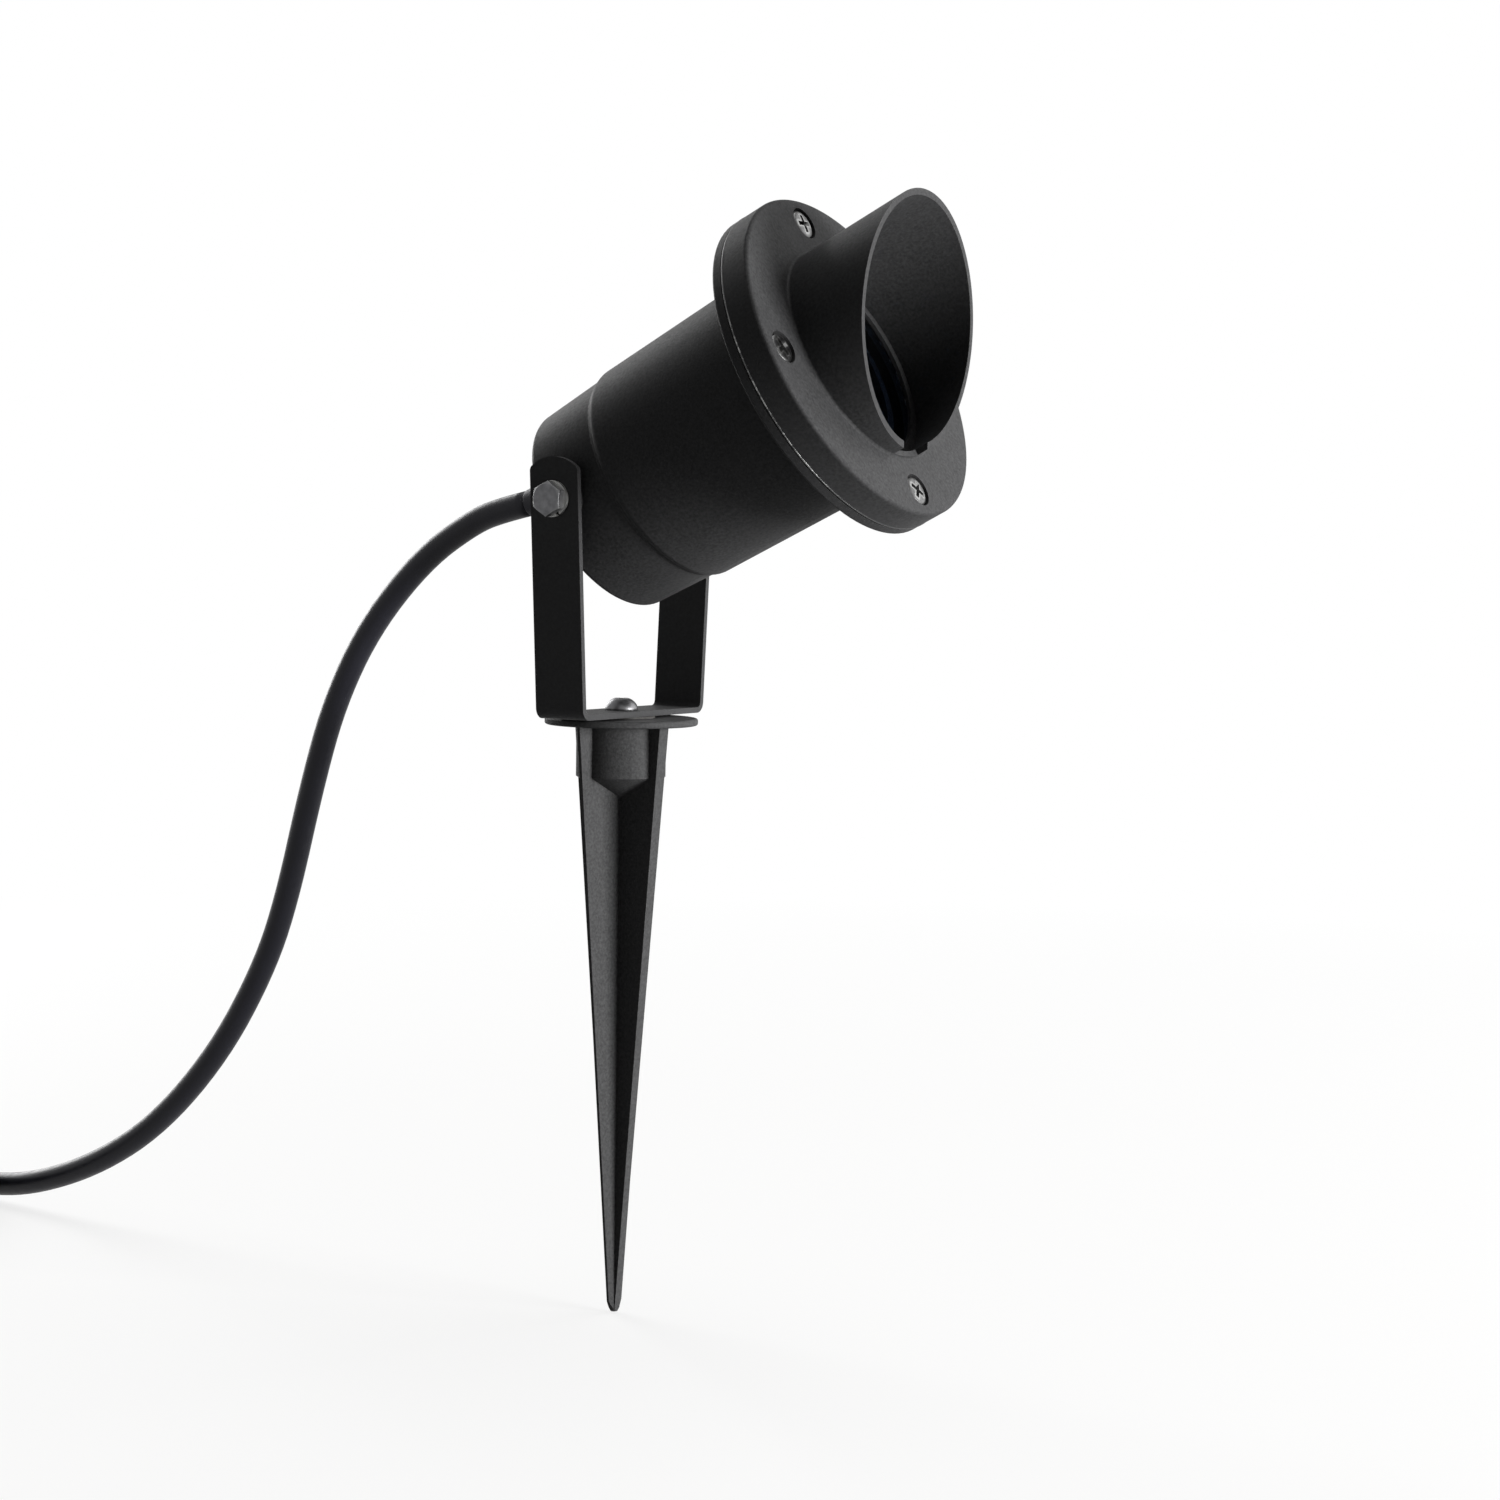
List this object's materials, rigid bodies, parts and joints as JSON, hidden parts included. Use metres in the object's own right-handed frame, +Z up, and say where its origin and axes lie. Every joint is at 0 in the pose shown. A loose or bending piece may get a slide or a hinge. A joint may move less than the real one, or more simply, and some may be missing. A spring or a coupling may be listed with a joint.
{
  "type": "garden spike spotlight",
  "caption": "Black garden spotlight: round flanged lamp head with a slanted glare visor, tilting in a U-bracket on a cruciform ground spike, with a mains lead and plug",
  "frame": {"origin": "tip of the ground spike, at the level of the surface that the lead lies on", "axes": "+Z runs up the spike's axis, +X is the side the lamp points to, +Y is the lamp's left as seen from behind"},
  "size_m": [0.4717, 0.1333, 0.2973],
  "materials": {
    "powder_coat": "black fine-grained powder coat on die-cast aluminium",
    "powder_steel": "black powder coat on steel strip",
    "zinc": "bright zinc plate",
    "dark_zinc": "dulled black-oxide steel",
    "lens": "clear tempered glass",
    "lamp_shell": "white moulded lamp body",
    "lamp_cover": "clear lamp cover",
    "plated_brass": "nickel-plated brass",
    "holder_ceramic": "bare ceramic",
    "rubber": "black rubber sheath",
    "rubber_part": "moulded black rubber",
    "silicone": "translucent grey silicone",
    "fibre": "black fibre",
    "nylon": "black nylon",
    "block_plastic": "natural nylon",
    "core_brown": "brown insulation",
    "core_blue": "blue insulation",
    "core_earth": "green and yellow insulation",
    "tie_plastic": "black nylon band",
    "seal": "thin pale flat seal"
  },
  "bodies": {
    "spike_base": {"spike": "powder_coat", "base_screw": "zinc", "friction_washer": "fibre"},
    "bracket": {"u_bracket": "powder_steel", "cable_neck": "rubber", "cable_lead": "rubber", "cable_coil": "rubber", "cable_tail": "rubber", "coil_tie": "tie_plastic", "plug_body": "rubber_part", "plug_pins": "plated_brass", "plug_clips": "plated_brass", "plug_boot": "rubber_part"},
    "head": {"housing": "powder_coat", "front_bezel": "powder_coat", "lens_glass": "lens", "lens_gasket": "silicone", "flange_seal": "seal", "bezel_screws": "zinc", "pivot_bolts": "dark_zinc", "spring_washers": "dark_zinc", "pad_washers": "zinc", "lamp_body": "lamp_shell", "lamp_cover": "lamp_cover", "lamp_pins": "plated_brass", "lamp_holder": "holder_ceramic", "holder_bar": "zinc", "holder_screws": "zinc", "terminal_block": "block_plastic", "terminal_screws": "plated_brass", "holder_leads": "silicone", "live_core": "core_brown", "neutral_core": "core_blue", "earth_core": "core_earth", "earth_tag": "plated_brass", "earth_screw": "zinc", "gland_seal": "rubber_part", "gland_body": "nylon", "gland_locknut": "nylon", "gland_boot": "rubber_part", "cable_inlet": "rubber"}
  },
  "joints": [
    {"name": "bracket_pan", "type": "hinge", "parent": "spike_base", "child": "bracket", "pos_m": [0, 0, 0.1611], "axis": [0, 0, 1], "range_deg": [-170, 170]},
    {"name": "head_tilt", "type": "hinge", "parent": "bracket", "child": "head", "pos_m": [0, 0, 0.2186], "axis": [0, -1, 0], "range_deg": [-57, 63], "deforming": ["cable_neck"]}
  ]
}
